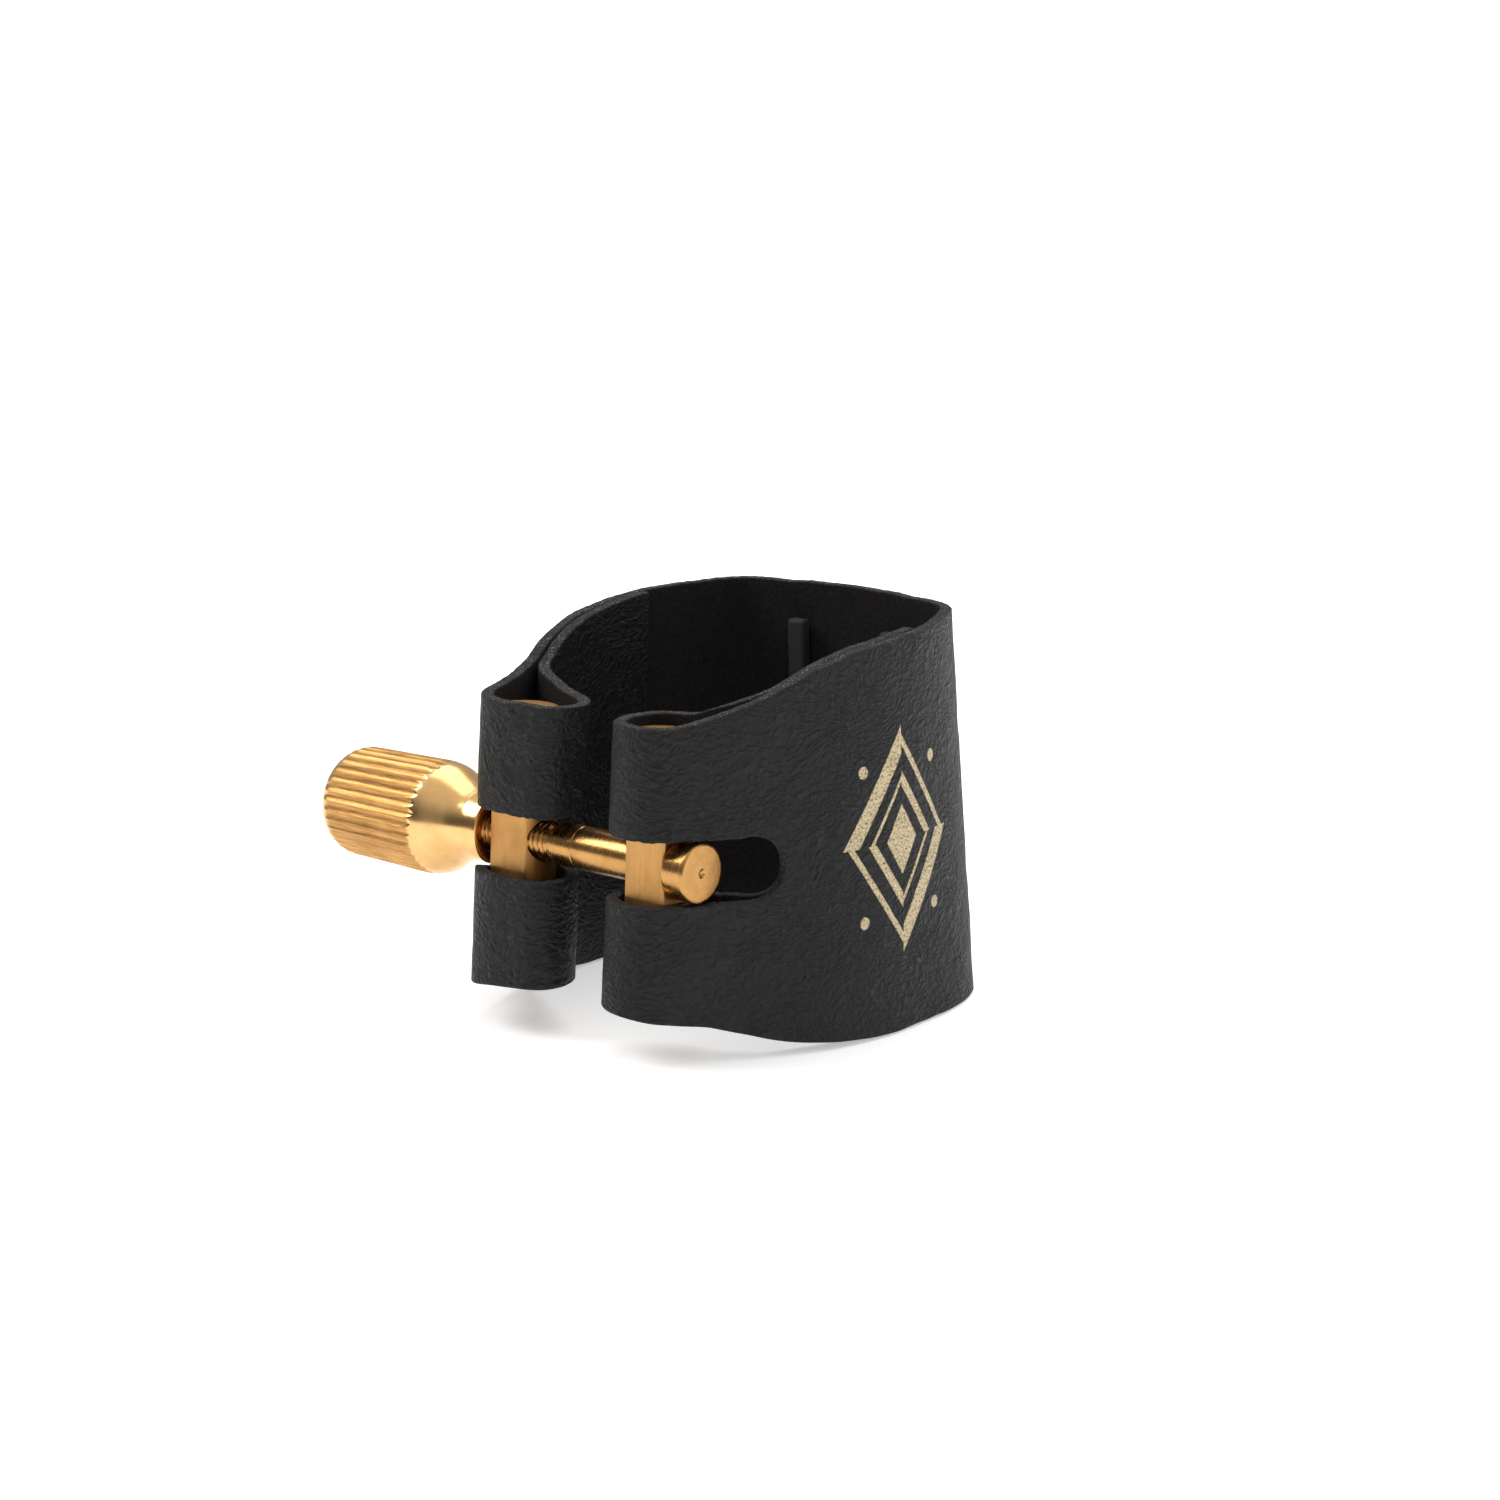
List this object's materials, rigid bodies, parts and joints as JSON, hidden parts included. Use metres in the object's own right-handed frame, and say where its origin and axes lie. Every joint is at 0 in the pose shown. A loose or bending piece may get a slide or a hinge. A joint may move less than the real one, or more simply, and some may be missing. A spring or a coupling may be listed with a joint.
{
  "type": "saxophone ligature",
  "caption": "Folded leather strap ligature that clamps a reed to a saxophone mouthpiece, drawn tight by a headed rod through two brass pins and a knurled thumb nut.",
  "frame": {"origin": "on the mouthpiece's axis at the height of the draw rod", "axes": "+Z along the mouthpiece's axis towards its tip, +X along the draw rod from the thumb nut to the rod's head, +Y towards the reed"},
  "size_m": [0.0428, 0.0356, 0.0301],
  "materials": {
    "strap_leather": "satin black grained leather, smoother on the folds",
    "reed_strip_rubber": "matt black",
    "post_brass": "gold lacquered, satin",
    "rod_brass": "gold lacquered, turned",
    "nut_brass": "gold lacquered, polished neck and knurled head"
  },
  "bodies": {
    "reed_side": {"band_back": "strap_leather", "reed_strip_left": "reed_strip_rubber", "reed_strip_right": "reed_strip_rubber"},
    "left_flank": {"band_left": "strap_leather"},
    "right_flank": {"band_right": "strap_leather"},
    "left_pin": {"left_post": "post_brass"},
    "right_pin": {"right_post": "post_brass", "draw_rod": "rod_brass"},
    "thumb": {"thumb_nut": "nut_brass"}
  },
  "joints": [
    {"name": "left_flank_flex", "type": "hinge", "parent": "reed_side", "child": "left_flank", "pos_m": [-0.01005, 0.0136, 0], "axis": [0, 0.04, 0.9992], "range_deg": [-3, 1.7]},
    {"name": "right_flank_flex", "type": "hinge", "parent": "reed_side", "child": "right_flank", "pos_m": [0.00775, 0.0136, 0], "axis": [0, 0.04, 0.9992], "range_deg": [-1.7, 3]},
    {"name": "left_post_pivot", "type": "hinge", "parent": "left_flank", "child": "left_pin", "pos_m": [-0.00768, -0.0156, 0], "axis": [0, 0.04, 0.9992], "range_deg": [-1.7, 3]},
    {"name": "right_post_pivot", "type": "hinge", "parent": "right_flank", "child": "right_pin", "pos_m": [0.00582, -0.0156, 0], "axis": [0, 0.04, 0.9992], "range_deg": [-3, 1.7]},
    {"name": "thumb_nut_spin", "type": "hinge", "parent": "left_pin", "child": "thumb", "pos_m": [-0.0103, -0.0156, 0], "axis": [1, 0, 0], "range_deg": [-2160, 1224]}
  ],
  "couplings": [
    {"joint": "right_flank_flex", "follows": "thumb_nut_spin", "ratio": -0.0013626},
    {"joint": "left_flank_flex", "follows": "thumb_nut_spin", "ratio": 0.0013626},
    {"joint": "left_post_pivot", "follows": "thumb_nut_spin", "ratio": -0.0013626},
    {"joint": "right_post_pivot", "follows": "thumb_nut_spin", "ratio": 0.0013626}
  ]
}
